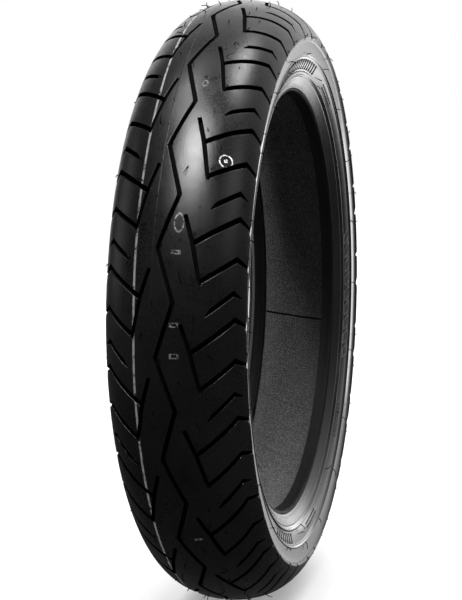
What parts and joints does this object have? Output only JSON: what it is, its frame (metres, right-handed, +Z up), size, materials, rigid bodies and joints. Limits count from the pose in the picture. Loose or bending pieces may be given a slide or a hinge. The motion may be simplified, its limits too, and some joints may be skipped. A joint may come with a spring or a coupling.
{
  "type": "motorcycle tyre",
  "caption": "Bias-belted motorcycle rear tyre without a rim, with a zigzag centre groove and angled shoulder grooves.",
  "frame": {"origin": "wheel centre, in the middle between the two beads", "axes": "+Y along the wheel axis, towards the right sidewall; +Z up; the tyre stands on its tread at the lowest Z"},
  "size_m": [0.6528, 0.1384, 0.6527],
  "materials": {
    "tread_rubber": "satin black moulded rubber, slightly dusty",
    "base_rubber": "matt black rubber inside the casing",
    "ply_cord": "brown-black rubber-coated nylon cord",
    "liner_rubber": "grey-black liner rubber with fine grain",
    "sidewall_rubber": "smooth semi-gloss black sidewall rubber",
    "rim_rubber": "smooth black rubber rim strip",
    "chafer_fabric": "rubberised fabric with diagonal cord texture",
    "bead_steel": "bronze-coated drawn steel wire"
  },
  "bodies": {
    "root": {"tread": "tread_rubber", "undertread": "base_rubber", "breaker_outer": "ply_cord", "breaker_inner": "ply_cord", "body_ply_outer": "ply_cord", "body_ply_inner": "ply_cord", "inner_liner": "liner_rubber", "sidewall_right": "sidewall_rubber", "sidewall_left": "sidewall_rubber", "shoulder_wedge_right": "base_rubber", "shoulder_wedge_left": "base_rubber", "bead_filler_right": "base_rubber", "bead_filler_left": "base_rubber", "bead_ring_right": "base_rubber", "bead_ring_left": "base_rubber", "bead_wires_right": "bead_steel", "bead_wires_left": "bead_steel", "rim_strip_right": "rim_rubber", "rim_strip_left": "rim_rubber", "chafer_right": "chafer_fabric", "chafer_left": "chafer_fabric"}
  },
  "joints": []
}
